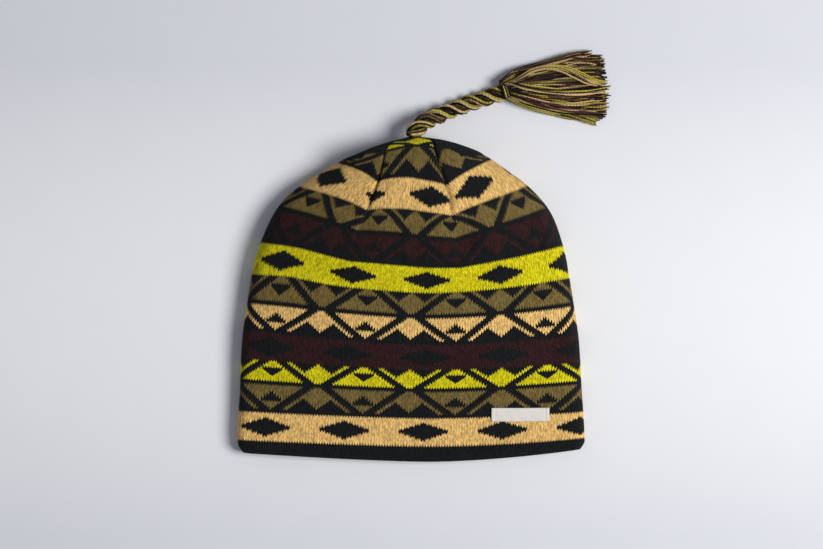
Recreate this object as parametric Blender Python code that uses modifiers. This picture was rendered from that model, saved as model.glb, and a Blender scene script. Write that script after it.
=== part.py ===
"""A knitted beanie lying flat: a hollow shell with six crown darts, a bare label, a plaited cord, its tie and a tassel.

X runs across the hat, Y from the hem to the crown, Z up. The underside is flat at Z = 0.
"""

import math
from collections import namedtuple

import bmesh
import bpy
import numpy as np

# Sizes of the knitted shell, in metres
HAT_WIDTH = 0.2208
HAT_LENGTH = 0.2059
LOFT = 0.038
KNIT_WALL = 0.0026
BACK_SHORT = 0.0022
DART_DEPTH = 0.0016
FOLD_DEPTH = 0.0028

# The knitting: stitches around, rows from the hem to the crown, and the darts
GORES = 6
GORE_STITCHES = 44
KNIT_ROWS = 184
FRONT_WALE = -3.3
DART_ROW = 129
DART_FULL_ROW = 136
DART_REACH = 1.1
SAG_REACH = 11.0
LIFT = 0.011
LIFT_ROW = 97
LIFT_ASIDE = 0.76

# The bare label, in metres, with its middle by stitch and row
LABEL_WIDTH = 0.0368
LABEL_HEIGHT = 0.0087
LABEL_THICK = 0.0009
LABEL_STITCH = 41.1
LABEL_ROW = 22.7
LABEL_SLANT = -0.068

# The plaited cord, its tie and the tassel, in metres
CORD_DIAMETER = 0.0095
CORD_TILT = 0.55
TIE_LENGTH = 0.004
TIE_DIAMETER = 0.0125
HEAD_LENGTH = 0.016
HEAD_WIDTH = 0.0165
HEAD_HEIGHT = 0.0125
TASSEL_LENGTH = 0.062
TASSEL_WIDTH = 0.048
TASSEL_ANGLE = math.radians(1.2)
LOCK_WIDTH = 0.0064
LOCK_HEIGHT = 0.0068
GAP = 0.0003

# How finely the solids are cut
GORE_COLUMNS = (0.0, 0.035, 0.12, 0.25, 0.37, 0.5, 0.63, 0.75, 0.88, 0.965)
LABEL_COLUMNS = 8
LABEL_ROWS = 2
CORD_STEP = 0.5
LOCK_SIDES = 8
LOCK_RINGS = 7
LOWER_LOCKS = 11
UPPER_LOCKS = 7

# Sections from hem to crown. row counts knit rows. left and right are shares of half the hat's
# width, y_left, y_mid and y_right are shares of its length, under, over and fold are shares of LOFT:
# the lowest and highest point of the section and the radius of its side folds. wale is where the
# front's middle wale stands, as a share of half the width, gather says how far the stitches crowd
# together at the side folds, and roll how far they are turned round to the right. sag is how far the rows
# hang down at the darts, as a share of its length.
Section = namedtuple("Section", "row left right y_left y_mid y_right under over fold wale gather roll sag")
SECTIONS = [
    Section(0, 0.966, 0.976, 0.025, 0.000, 0.036, 0.020, 0.310, 0.130, -0.073, 0.00, 0.000, 0.0000),
    Section(3, 0.994, 0.999, 0.044, 0.019, 0.056, 0.000, 0.345, 0.162, -0.072, 0.00, 0.000, 0.0000),
    Section(7, 1.000, 1.000, 0.068, 0.048, 0.073, 0.000, 0.365, 0.168, -0.071, 0.00, 0.000, 0.0000),
    Section(22, 0.994, 0.993, 0.155, 0.133, 0.153, 0.000, 0.450, 0.178, -0.066, 0.00, 0.000, 0.0000),
    Section(35, 0.986, 0.983, 0.238, 0.210, 0.234, 0.000, 0.525, 0.185, -0.062, 0.00, 0.000, 0.0000),
    Section(49, 0.981, 0.976, 0.319, 0.284, 0.307, 0.000, 0.605, 0.192, -0.058, 0.00, 0.000, 0.0000),
    Section(64, 0.968, 0.964, 0.406, 0.360, 0.390, 0.000, 0.685, 0.200, -0.055, 0.00, 0.000, 0.0000),
    Section(77, 0.946, 0.941, 0.483, 0.436, 0.473, 0.000, 0.750, 0.210, -0.052, 0.00, 0.000, 0.0000),
    Section(91, 0.917, 0.912, 0.578, 0.521, 0.567, 0.000, 0.820, 0.222, -0.043, 0.00, 0.000, 0.0010),
    Section(106, 0.868, 0.876, 0.674, 0.599, 0.665, 0.000, 0.895, 0.230, -0.034, 0.00, 0.000, 0.0080),
    Section(120, 0.776, 0.800, 0.778, 0.688, 0.772, 0.000, 0.960, 0.232, -0.025, -0.01, 0.010, 0.0190),
    Section(133, 0.649, 0.671, 0.849, 0.776, 0.852, 0.000, 1.000, 0.225, -0.012, -0.04, 0.020, 0.0265),
    Section(148, 0.426, 0.462, 0.921, 0.873, 0.933, 0.000, 0.975, 0.235, 0.000, 0.03, 0.110, 0.0335),
    Section(162, 0.380, 0.425, 0.934, 0.970, 0.943, 0.065, 0.830, 0.270, -0.010, -0.15, 0.040, 0.0080),
    Section(172, 0.320, 0.360, 0.946, 0.993, 0.961, 0.170, 0.685, 0.250, -0.006, -0.10, 0.010, 0.0010),
    Section(179, 0.180, 0.200, 0.976, 0.999, 0.988, 0.280, 0.560, 0.140, 0.000, -0.20, 0.000, 0.0000),
    Section(184, 0.020, 0.030, 1.000, 1.000, 1.000, 0.390, 0.450, 0.030, 0.000, 0.00, 0.000, 0.0000),
]
SHELL_ROWS = (0, 1.5, 3, 7, 14, 22, 31, 40, 49, 58, 67, 77, 87, 97, 106, 113, 120, 127, 133, 138, 143, 148,
              153, 158, 162, 167, 172, 176, 179.5, 182.5, 184)

# Soft folds under the darts' ends, by stitch and row, with their reach in stitches and rows and their
# depth as a share of FOLD_DEPTH
Fold = namedtuple("Fold", "stitch row stitches rows depth")
FOLDS = [
    Fold(-30.0, 123, 6.0, 9.0, 1.0),
    Fold(-23.0, 126, 4.0, 6.0, 0.6),
    Fold(22.5, 122, 5.0, 9.0, 1.0),
    Fold(17.0, 126, 4.0, 5.0, 0.6),
]

# The cord's route: x and y in metres from the crown's tip, and how far it has come down from the
# crown's tip, 0, to the surface it lies on, 1
CORD_ROUTE = [
    (0.0021, 0.0000, 0.00),
    (0.0039, 0.0027, 0.05),
    (0.0062, 0.0050, 0.14),
    (0.0088, 0.0070, 0.27),
    (0.0116, 0.0085, 0.42),
    (0.0159, 0.0106, 0.64),
    (0.0242, 0.0143, 0.90),
    (0.0324, 0.0175, 1.00),
    (0.0406, 0.0203, 1.00),
    (0.0495, 0.0232, 1.00),
    (0.0575, 0.0258, 1.00),
]

# How wide the tassel spreads, as a share of its width, at shares of its length from the head
TASSEL_FAN = [(0.0, 0.30), (0.18, 0.57), (0.33, 0.67), (0.55, 0.77), (0.78, 0.88), (1.0, 1.0)]


def through(knots, values, at):
    """A smooth curve through the values at the knots, read at one place or many."""
    knots = np.asarray(knots, float)
    values = np.asarray(values, float)
    slopes = np.gradient(values, knots)
    at = np.clip(at, knots[0], knots[-1])
    i = np.clip(np.searchsorted(knots, at, side="right") - 1, 0, len(knots) - 2)
    width = knots[i + 1] - knots[i]
    t = (at - knots[i]) / width
    return (
        (2 * t**3 - 3 * t**2 + 1) * values[i]
        + (t**3 - 2 * t**2 + t) * width * slopes[i]
        + (3 * t**2 - 2 * t**3) * values[i + 1]
        + (t**3 - t**2) * width * slopes[i + 1]
    )


def section_at(row):
    """The section at a knit row, between those of the table."""
    rows = [s.row for s in SECTIONS]
    section = Section(*[float(through(rows, column, row)) for column in zip(*SECTIONS)])
    return section._replace(under=max(section.under, 0.0))


def ring(row, points=90):
    """The shell's outer line at a knit row, as (points, share of the way round), from the front's middle wale."""
    s = section_at(row)
    half_width = HAT_WIDTH / 2
    middle = half_width * (s.right - s.left) / 2
    half = half_width * (s.right + s.left) / 2
    height = LOFT * (s.over - s.under)
    fold_z = min(LOFT * s.fold, height / 2)
    fold_x = min(fold_z, half)
    flat = half - fold_x
    turn = np.linspace(math.pi / 2, -math.pi / 2, points)
    run = np.linspace(0, 1, points)
    x = np.concatenate([run * flat, flat + fold_x * np.cos(turn), (1 - 2 * run) * flat,
                        -flat - fold_x * np.cos(turn), (run - 1) * flat])
    level = np.concatenate([np.ones(points), np.sin(turn), -np.ones(points), -np.sin(turn), np.ones(points)])
    across = x / max(half, 1e-6)
    rise = (1 - np.abs(across) ** 2.4) * (level + 1) / 2
    z = LOFT * s.under + fold_z * (1 + level) + (height - 2 * fold_z) * rise
    lean = across - 0.12 * (1 - across**2)
    side = np.where(lean < 0, s.y_left, s.y_right)
    y = HAT_LENGTH * (s.y_mid + (side - s.y_mid) * np.abs(lean) ** 1.6 - 0.5)
    y += HAT_LENGTH * LIFT * np.exp(-(((across + LIFT_ASIDE) / 0.17) ** 2) - ((row - LIFT_ROW) / 14) ** 2)
    y += BACK_SHORT * np.clip(-level, 0, 1) * max(0.0, 1 - row / 30) * (1 - across**2)
    line = np.stack([x + middle, y, z], axis=1)
    step = np.linalg.norm(np.diff(line, axis=0), axis=1)
    along = np.concatenate([[0], np.cumsum(step)])
    keep = np.concatenate([[True], step > 1e-9])
    line, along = line[keep], along[keep]
    front = (along < along[-1] * 0.2) | (along > along[-1] * 0.8)
    signed = np.where(along > along[-1] / 2, along - along[-1], along)
    order = np.argsort(signed[front])
    start = np.interp(half_width * s.wale, line[front][order][:, 0], signed[front][order])
    return line, along, start, s


def on_ring(row, stitches):
    """Points of the shell's outer line at a knit row, for stitches counted from wale 0."""
    line, along, start, s = ring(row)
    total = GORES * GORE_STITCHES
    share = (np.asarray(stitches, float) - FRONT_WALE) / total
    turn = 2 * math.pi * share
    share = share + (s.gather * np.sin(2 * turn) / 2 + s.roll * (np.sin(turn) + 1 - np.cos(turn))) / (2 * math.pi)
    at = (start + share * along[-1]) % along[-1]
    points = np.stack([np.interp(at, along, line[:, k]) for k in range(3)], axis=1)
    round_way = np.abs((np.asarray(stitches, float) - FRONT_WALE + total / 2) % total - total / 2)
    beside = np.abs(round_way - total / 4) - GORE_STITCHES
    points[:, 1] -= HAT_LENGTH * s.sag * np.exp(-(np.abs(beside / SAG_REACH) ** 1.1))
    return points


def relief(row, stitches, height):
    """How far the surface stands out from its plain form: the darts' grooves and the soft folds go inwards."""
    first = FRONT_WALE - GORE_STITCHES / 2
    away = (np.asarray(stitches, float) - first + GORE_STITCHES / 2) % GORE_STITCHES - GORE_STITCHES / 2
    strength = np.clip((row - DART_ROW) / (DART_FULL_ROW - DART_ROW), 0, 1)
    strength *= np.clip((KNIT_ROWS - row) / 6, 0, 1)
    out = -DART_DEPTH * strength * np.exp(-((away / DART_REACH) ** 2))
    for fold in FOLDS:
        aside = (np.asarray(stitches, float) - fold.stitch) / fold.stitches
        dip = np.exp(-(aside**2) - ((row - fold.row) / fold.rows) ** 2)
        out = out - FOLD_DEPTH * fold.depth * dip
    return out * np.clip(height / (LOFT * 0.2), 0, 1)


def surface(rows, stitches, lift=0.0):
    """A grid of points on the shell's outer surface, one line of points for each knit row."""
    small = 0.05
    grid = []
    for row in rows:
        here = on_ring(row, stitches)
        low, high = max(0, row - small), min(KNIT_ROWS, row + small)
        up = on_ring(high, stitches) - on_ring(low, stitches)
        side = on_ring(row, np.asarray(stitches) + small) - on_ring(row, np.asarray(stitches) - small)
        normal = np.cross(side, up)
        normal /= np.maximum(np.linalg.norm(normal, axis=1), 1e-12)[:, None]
        grid.append(here + normal * (relief(row, stitches, here[:, 2]) + lift)[:, None])
    return np.array(grid)


def material(name, colour, roughness):
    m = bpy.data.materials.new(name)
    m.use_nodes = True
    shader = m.node_tree.nodes["Principled BSDF"]
    shader.inputs["Base Color"].default_value = (*colour, 1)
    shader.inputs["Roughness"].default_value = roughness
    return m


def add(name, mesh, collection, finish):
    thing = bpy.data.objects.new(name, mesh)
    collection.objects.link(thing)
    if finish:
        mesh.materials.append(finish)
    mesh.shade_smooth()
    mesh.set_sharp_from_angle(angle=math.radians(50))
    return thing


def mesh_of(name, points, faces):
    mesh = bpy.data.meshes.new(name)
    mesh.from_pydata([tuple(p) for p in points], [], faces)
    shape = bmesh.new()
    shape.from_mesh(mesh)
    bmesh.ops.recalc_face_normals(shape, faces=shape.faces)
    shape.to_mesh(mesh)
    shape.free()
    return mesh


def knit_shell(collection, finish):
    """The hollow hat: rings of one loft, closed at the crown's tip, with the knit's wall to the inside."""
    share = np.array([(gore + column) / GORES for gore in range(GORES) for column in GORE_COLUMNS])
    stitches = FRONT_WALE - GORE_STITCHES / 2 + share * GORES * GORE_STITCHES
    grid = surface(SHELL_ROWS, stitches)
    columns, rings = len(stitches), len(SHELL_ROWS)
    points = list(grid.reshape(-1, 3)) + [grid[-1].mean(axis=0)]
    faces = []
    for r in range(rings - 1):
        for c in range(columns):
            n = (c + 1) % columns
            faces.append((r * columns + c, r * columns + n, (r + 1) * columns + n, (r + 1) * columns + c))
    top = (rings - 1) * columns
    faces += [(top + c, top + (c + 1) % columns, len(points) - 1) for c in range(columns)]
    shell = add("knit_shell", mesh_of("knit_shell", points, faces), collection, finish)
    wall = shell.modifiers.new("Wall", "SOLIDIFY")
    wall.thickness = KNIT_WALL
    wall.offset = -1
    wall.use_even_offset = False
    return grid[-1].mean(axis=0)


def woven_label(collection, finish):
    """A thin bare tape that follows the front of the shell."""
    stitch_width = np.linalg.norm(np.diff(on_ring(LABEL_ROW, [LABEL_STITCH, LABEL_STITCH + 1]), axis=0))
    row_height = np.linalg.norm(on_ring(LABEL_ROW + 1, [LABEL_STITCH]) - on_ring(LABEL_ROW, [LABEL_STITCH]))
    layers = []
    for lift in (GAP, GAP + LABEL_THICK):
        for j in range(LABEL_ROWS + 1):
            for i in range(LABEL_COLUMNS + 1):
                across = (i / LABEL_COLUMNS - 0.5) * LABEL_WIDTH / stitch_width
                up = (j / LABEL_ROWS - 0.5) * LABEL_HEIGHT / row_height + LABEL_SLANT * across
                layers.append(surface([LABEL_ROW + up], [LABEL_STITCH + across], lift)[0][0])
    wide = LABEL_COLUMNS + 1
    layer = wide * (LABEL_ROWS + 1)
    faces = []
    for j in range(LABEL_ROWS):
        for i in range(LABEL_COLUMNS):
            a = j * wide + i
            faces.append((a, a + wide, a + wide + 1, a + 1))
            faces.append((layer + a, layer + a + 1, layer + a + wide + 1, layer + a + wide))
    edge = list(range(LABEL_COLUMNS)) + [LABEL_COLUMNS + j * wide for j in range(LABEL_ROWS)]
    edge += [LABEL_ROWS * wide + i for i in range(LABEL_COLUMNS, 0, -1)]
    edge += [j * wide for j in range(LABEL_ROWS, 0, -1)]
    for a, b in zip(edge, edge[1:] + edge[:1]):
        faces.append((a, b, layer + b, layer + a))
    add("woven_label", mesh_of("woven_label", layers, faces), collection, finish)


def cord_line(tip):
    """Points down the middle of the cord, on a smooth curve through its route."""
    radius = CORD_DIAMETER / 2
    route = np.array([(tip[0] + x, tip[1] + y, tip[2] + (radius - tip[2]) * fall) for x, y, fall in CORD_ROUTE])
    route[:, 1] += GAP + radius * CORD_TILT
    along = np.concatenate([[0], np.cumsum(np.linalg.norm(np.diff(route, axis=0), axis=1))])
    count = max(8, round(along[-1] / (CORD_STEP * CORD_DIAMETER)))
    at = np.linspace(0, along[-1], count + 1)
    return np.stack([through(along, route[:, k], at) for k in range(3)], axis=1)


def braid_cord(collection, finish, line):
    curve = bpy.data.curves.new("braid_cord", "CURVE")
    curve.dimensions = "3D"
    curve.bevel_depth = CORD_DIAMETER / 2
    curve.bevel_resolution = 3
    curve.use_fill_caps = True
    spline = curve.splines.new("POLY")
    spline.points.add(len(line) - 1)
    for point, place in zip(spline.points, line):
        point.co = (*place, 1)
    curve.materials.append(finish)
    collection.objects.link(bpy.data.objects.new("braid_cord", curve))


def loft(name, rings):
    """A closed solid through rings of points, with a flat cap at each end."""
    sides = len(rings[0])
    points = [p for one in rings for p in one]
    faces = [tuple(range(sides)), tuple(range(len(points) - sides, len(points)))]
    for r in range(len(rings) - 1):
        for s in range(sides):
            n = (s + 1) % sides
            faces.append((r * sides + s, r * sides + n, (r + 1) * sides + n, (r + 1) * sides + s))
    return mesh_of(name, points, faces)


def oval(centre, direction, width, height, sides):
    """Points round an upright oval, square to a level direction."""
    across = np.array([-direction[1], direction[0], 0.0])
    turns = [2 * math.pi * (k + 0.5) / sides for k in range(sides)]
    return [centre + across * math.cos(t) * width / 2 + np.array([0, 0, math.sin(t) * height / 2]) for t in turns]


def tassel_tie(collection, finish, start, direction):
    """A short barrel, fuller in the middle, where yarn is wound round the cord's end."""
    profile = [(0.0, 0.86), (0.2, 0.97), (0.5, 1.0), (0.8, 0.97), (1.0, 0.86)]
    rings = []
    for share, full in profile:
        centre = start + direction * TIE_LENGTH * share + np.array([0, 0, TIE_DIAMETER / 2])
        rings.append(oval(centre, direction, TIE_DIAMETER * full, TIE_DIAMETER * full, 14))
    add("tassel_tie", loft("tassel_tie", rings), collection, finish)


def lock(start, heading, place, spread, length, base):
    """One lock of yarn, from the head to its cut tip. place is from -0.5 to 0.5 across the tassel."""
    side = np.array([-heading[1], heading[0], 0.0])
    fan_at, fan_width = zip(*TASSEL_FAN)
    first = HEAD_LENGTH * 0.35 / TASSEL_LENGTH
    centres = []
    for k in range(LOCK_RINGS):
        s = first + (1 - first) * k / (LOCK_RINGS - 1)
        aside = place * spread * (TASSEL_WIDTH - LOCK_WIDTH) * float(through(fan_at, fan_width, s))
        centres.append(start + heading * length * s + side * aside)
    rings = []
    for k in range(LOCK_RINGS):
        s = k / (LOCK_RINGS - 1)
        way = centres[min(k + 1, LOCK_RINGS - 1)] - centres[max(k - 1, 0)]
        tall = LOCK_HEIGHT * (1 - 0.25 * s)
        wide = LOCK_WIDTH * (0.75 + 0.25 * math.sin(math.pi * s * 0.7)) * (1 - 0.3 * max(0.0, s - 0.8) / 0.2)
        middle = centres[k] + np.array([0, 0, base * (1 - 0.4 * s) + tall / 2])
        rings.append(oval(middle, way / np.linalg.norm(way), wide, tall, LOCK_SIDES))
    return loft("lock", rings)


def tassel(collection, helpers, finish, start):
    """The head, and two layers of locks that fan out from it, fused into one solid."""
    heading = np.array([math.cos(TASSEL_ANGLE), math.sin(TASSEL_ANGLE), 0.0])
    head_profile = [(0.0, 0.62), (0.14, 0.86), (0.4, 1.0), (0.7, 0.97), (1.0, 0.8)]
    head_rings = []
    for share, full in head_profile:
        centre = start + heading * HEAD_LENGTH * share + np.array([0, 0, HEAD_HEIGHT / 2])
        head_rings.append(oval(centre, heading, HEAD_WIDTH * full, HEAD_HEIGHT * full, 14))
    body = add("tassel", loft("tassel", head_rings), collection, finish)
    layers = ((LOWER_LOCKS, 1.0, 1.0, 0.0), (UPPER_LOCKS, 0.74, 0.95, LOCK_HEIGHT * 0.6))
    for layer, (count, spread, long, base) in enumerate(layers):
        for k in range(count):
            place = 0.5 - k / (count - 1)
            length = TASSEL_LENGTH * long * (1 - 0.13 * (2 * place) ** 2 + 0.025 * math.sin(5 * k + 1))
            piece = add(f"lock_{layer}_{k}", lock(start, heading, place, spread, length, base), helpers, None)
            piece.hide_render = True
            piece.display_type = "WIRE"
            fuse = body.modifiers.new(piece.name, "BOOLEAN")
            fuse.operation = "UNION"
            fuse.object = piece


def main():
    for thing in list(bpy.data.objects):
        bpy.data.objects.remove(thing)
    hat = bpy.data.collections.new("tassel_beanie")
    helpers = bpy.data.collections.new("helpers")
    bpy.context.scene.collection.children.link(hat)
    bpy.context.scene.collection.children.link(helpers)

    tip = knit_shell(hat, material("knit", (0.03, 0.03, 0.035), 0.9))
    woven_label(hat, material("label", (0.75, 0.72, 0.64), 0.8))
    line = cord_line(tip)
    braid_cord(hat, material("plait", (0.2, 0.16, 0.05), 0.9), line)
    end = line[-1] - line[-2]
    direction = np.array([end[0], end[1], 0.0]) / math.hypot(end[0], end[1])
    tie_start = np.array([line[-1][0], line[-1][1], 0.0]) + direction * GAP
    tassel_tie(hat, material("tie", (0.25, 0.22, 0.05), 0.9), tie_start, direction)
    turn = abs(math.atan2(direction[1], direction[0]) - TASSEL_ANGLE)
    tassel_start = tie_start + direction * (TIE_LENGTH + GAP + TIE_DIAMETER / 2 * math.sin(turn))
    tassel(hat, helpers, material("tassel", (0.15, 0.1, 0.05), 0.9), tassel_start)


main()
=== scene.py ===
"""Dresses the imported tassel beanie: the patterned knit, the bare label, the plait, its tie and the tassel."""

import math
import random
from collections import namedtuple
from functools import partialmethod

import bpy
import numpy as np
from bpy.props import FloatProperty, FloatVectorProperty, IntProperty, PointerProperty
from bpy.types import Operator, Panel, PropertyGroup
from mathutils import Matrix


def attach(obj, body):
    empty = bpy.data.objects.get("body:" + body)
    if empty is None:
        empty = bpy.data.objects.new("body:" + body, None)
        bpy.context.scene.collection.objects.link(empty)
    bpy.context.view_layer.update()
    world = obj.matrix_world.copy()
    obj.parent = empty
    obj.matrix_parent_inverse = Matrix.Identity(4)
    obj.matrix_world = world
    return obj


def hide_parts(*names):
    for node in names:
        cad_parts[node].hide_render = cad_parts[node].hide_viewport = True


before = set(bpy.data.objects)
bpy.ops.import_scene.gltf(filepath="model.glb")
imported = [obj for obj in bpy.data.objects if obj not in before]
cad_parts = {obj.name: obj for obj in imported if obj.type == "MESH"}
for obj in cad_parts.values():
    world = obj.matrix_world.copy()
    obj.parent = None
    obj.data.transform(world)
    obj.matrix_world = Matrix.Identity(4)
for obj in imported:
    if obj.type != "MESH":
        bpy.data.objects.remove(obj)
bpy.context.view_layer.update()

bl_info = {
    "name": "Tassel Beanie",
    "version": (1, 0, 0),
    "blender": (4, 5, 0),
    "location": "3D View > Sidebar > Beanie",
    "description": "Knits a patterned beanie with a plaited cord and a tassel, lying flat",
    "category": "Add Mesh",
}

# The hat's form, as in the part's source: sizes in metres, stitches and rows as counts
HAT_WIDTH = 0.2208
HAT_LENGTH = 0.2059
LOFT = 0.038
BACK_SHORT = 0.0022
DART_DEPTH = 0.0016
FOLD_DEPTH = 0.0028
GORES = 6
GORE_STITCHES = 44
STITCHES = GORES * GORE_STITCHES
KNIT_ROWS = 184
FRONT_WALE = -3.3
FIRST_DART = FRONT_WALE - GORE_STITCHES / 2
DART_ROW = 129
DART_FULL_ROW = 136
DART_REACH = 1.1
SAG_REACH = 11.0
# The rows at the left are pushed up by a soft pull of the knit: how far, as a share of the length,
# at which row and which share of half the width, and how many rows and how far across it reaches
LIFT = 0.011
LIFT_ROW = 97
LIFT_ASIDE = 0.76
LIFT_ROWS = 14
LIFT_REACH = 0.17
# A row's form: how flat its top is, how far it leans, how it rises to the sides, and the rows over
# which the back's short hem ends
TOP_SHAPE = 2.4
ROW_LEAN = 0.12
ROW_SHAPE = 1.6
BACK_ROWS = 30
# The darts: how the rows hang at them, and the rows over which they end at the crown
SAG_SHAPE = 1.1
DART_END_ROWS = 6
# Darts and folds fade out below this share of the loft
RELIEF_FADE = 0.2
LABEL_STITCH = 41.1
LABEL_ROW = 22.7
LABEL_SLANT = -0.068
CORD_DIAMETER = 0.0095
CORD_TILT = 0.55
TIE_LENGTH = 0.004
TIE_DIAMETER = 0.0125
GAP = 0.0003

# Sections from hem to crown: row is a knit row. left and right are shares of half the width, y_left,
# y_mid and y_right shares of the length, under, over and fold shares of the loft. wale is where the
# front's middle wale stands, as a share of half the width, gather how far stitches crowd at the side
# folds, roll how far those at the right are turned round to the back, and sag how far the rows hang
# down at the darts of the front and the back, as a share of the length.
Section = namedtuple("Section", "row left right y_left y_mid y_right under over fold wale gather roll sag")
SECTIONS = [
    (0, 0.966, 0.976, 0.025, 0, 0.036, 0.02, 0.31, 0.13, -0.073, 0, 0, 0),
    (3, 0.994, 0.999, 0.044, 0.019, 0.056, 0, 0.345, 0.162, -0.072, 0, 0, 0),
    (7, 1, 1, 0.068, 0.048, 0.073, 0, 0.365, 0.168, -0.071, 0, 0, 0),
    (22, 0.994, 0.993, 0.155, 0.133, 0.153, 0, 0.45, 0.178, -0.066, 0, 0, 0),
    (35, 0.986, 0.983, 0.238, 0.21, 0.234, 0, 0.525, 0.185, -0.062, 0, 0, 0),
    (49, 0.981, 0.976, 0.319, 0.284, 0.307, 0, 0.605, 0.192, -0.058, 0, 0, 0),
    (64, 0.968, 0.964, 0.406, 0.36, 0.39, 0, 0.685, 0.2, -0.055, 0, 0, 0),
    (77, 0.946, 0.941, 0.483, 0.436, 0.473, 0, 0.75, 0.21, -0.052, 0, 0, 0),
    (91, 0.917, 0.912, 0.578, 0.521, 0.567, 0, 0.82, 0.222, -0.043, 0, 0, 0.001),
    (106, 0.868, 0.876, 0.674, 0.599, 0.665, 0, 0.895, 0.23, -0.034, 0, 0, 0.008),
    (120, 0.776, 0.8, 0.778, 0.688, 0.772, 0, 0.96, 0.232, -0.025, -0.01, 0.01, 0.019),
    (133, 0.649, 0.671, 0.849, 0.776, 0.852, 0, 1, 0.225, -0.012, -0.04, 0.02, 0.0265),
    (148, 0.426, 0.462, 0.921, 0.873, 0.933, 0, 0.975, 0.235, 0, 0.03, 0.11, 0.0335),
    (162, 0.38, 0.425, 0.934, 0.97, 0.943, 0.065, 0.83, 0.27, -0.01, -0.15, 0.04, 0.008),
    (172, 0.32, 0.36, 0.946, 0.993, 0.961, 0.17, 0.685, 0.25, -0.006, -0.1, 0.01, 0.001),
    (179, 0.18, 0.2, 0.976, 0.999, 0.988, 0.28, 0.56, 0.14, 0, -0.2, 0, 0),
    (184, 0.02, 0.03, 1, 1, 1, 0.39, 0.45, 0.03, 0, 0, 0, 0),
]

# Soft folds under the front's two darts: the stitch and row where each is deepest, how many stitches
# and rows it reaches, and its depth as a share of FOLD_DEPTH
Fold = namedtuple("Fold", "stitch row stitches rows depth")
FOLDS = [
    Fold(-30, 123, 6, 9, 1),
    Fold(-23, 126, 4, 6, 0.6),
    Fold(22.5, 122, 5, 9, 1),
    Fold(17, 126, 4, 5, 0.6),
]

# The cord's route from the crown's tip: x, y, and how far it has come down to the floor
CORD_ROUTE = [
    (0.0021, 0, 0), (0.0039, 0.0027, 0.05), (0.0062, 0.005, 0.14), (0.0088, 0.007, 0.27),
    (0.0116, 0.0085, 0.42), (0.0159, 0.0106, 0.64), (0.0242, 0.0143, 0.9), (0.0324, 0.0175, 1),
    (0.0406, 0.0203, 1), (0.0495, 0.0232, 1), (0.0575, 0.0258, 1),
]

# How many pattern stitches a gore has at a row: 44 below the darts, fewer above
GORE_PATTERN = [(0, 44), (128, 44), (133, 38), (140.5, 34.6), (148, 31), (162, 22.5), (172, 17), (184, 5)]
# The chart's rows: of the hem, of a band with the lattice above it, of the band, and the crown's plain
# rows from the last number up
HEM_ROWS = 7
UNIT_ROWS = 42
BAND_ROWS = 15
TOP_ROW = 175
# From these rows up, and beyond so many stitches from the front's middle, the lattice has no black
CROWN_ROW = 163
CROWN_STITCHES = 22
CORNER_ROW = 157
CORNER_STITCHES = 41
# A band's diamonds: the stitches from one to the next, one's middle, how far it reaches up and to the
# side, and by how much that shrinks with each row
DIAMOND_REPEAT = 29
DIAMOND_STITCH = 5.5
DIAMOND_ROW = 7
DIAMOND_RISE = 4.5
DIAMOND_HALF = 9
DIAMOND_STEP = 2
# A lattice: its repeat, its middle row and how far its lines reach from there, the row where the wedges
# between the lines start and their two sides, and a small triangle's first row and rows
LATTICE_REPEAT = 34
LATTICE_ROW = 14.5
LATTICE_REACH = 12.5
WEDGE_ROW = 6.5
WEDGE_SIDE = 11.5
WEDGE_EDGE = 1.5
TRIANGLE_ROW = 5.5
TRIANGLE_ROWS = 3.5
# Yarns of the bands, and of the lower and upper halves of the lattices above them, from the hem up
BAND_YARNS = ["tan", "maroon", "lime", "tan"]
LOW_YARNS = ["olive", "tan", "maroon", "olive"]
HIGH_YARNS = ["lime", "olive", "olive", "lime"]

# Rows of the chart at the knit's rings of points: outside, inside and round the lip of the hem
OUTER_ROWS = [0.4, 1.2, 2, 3.5, 5, 6.5, 8, *np.arange(10, 180.1, 2), 181, 182.2, 183.2, 184]
INNER_ROWS = [172, 160, 148, 140, 134, 128, 122, *range(114, 9, -8), 4, 0.4]
LIP_ROWS = [0.3, 0.2, 0.1, 0.1, 0.2, 0.3]

# Yarn numbers, which stand in the middle of each colour's share of the yarns' ramp
YARNS = ["black", "lime", "tan", "maroon", "olive"]
SHADE = {name: (n + 0.5) / len(YARNS) for n, name in enumerate(YARNS)}

# The yarns round each strand of the plait, and how far the plait is turned about its line, in degrees
PLAIT_CAST = [
    ["lime", "tan", "maroon", "lime", "black", "tan", "lime", "black"],
    ["tan", "lime", "black", "olive", "maroon", "lime", "tan", "black"],
    ["lime", "black", "tan", "lime", "maroon", "black", "tan", "maroon"],
]
PLAIT_ROLL = 8
# The plait's line: its points, the steps that it starts inside the crown, and its place in a turn there
PLAIT_POINTS = 141
PLAIT_LEAD = 8
PLAIT_PHASE = 0.08
# How much looser the plait starts and over what length, and how far its lobes lean
LOOSE_START = 0.2
LOOSE_REACH = 0.008
LOBE_LEAN = 0.12
# A strand: its black core and the whole plait's, which fill the gaps between yarns with painted shade, as
# shares of its thickness, the length in which its yarns go round it once, how far each strand's yarns are
# turned, and how flat it lies
STRAND_SHADE_CORE = 0.33
PLAIT_SHADE_CORE = 0.42
STRAND_LAY = 0.045
STRAND_TURN = 0.6
STRAND_FLAT = 0.92

# The tie's winding: turns, points in each, radius and bulge as shares of the tie's, and its yarn's
# radius and colours. The core's radius is a share too, and it stands out at both ends.
TIE_TURNS = 4
TIE_POINTS = 28
TIE_WOUND = 0.72
TIE_BULGE = 0.06
TIE_YARN = 0.0006
TIE_YARNS = ["black", "lime", "black", "olive"]
TIE_CORE = 0.70
TIE_OUT = 0.0008

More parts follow.
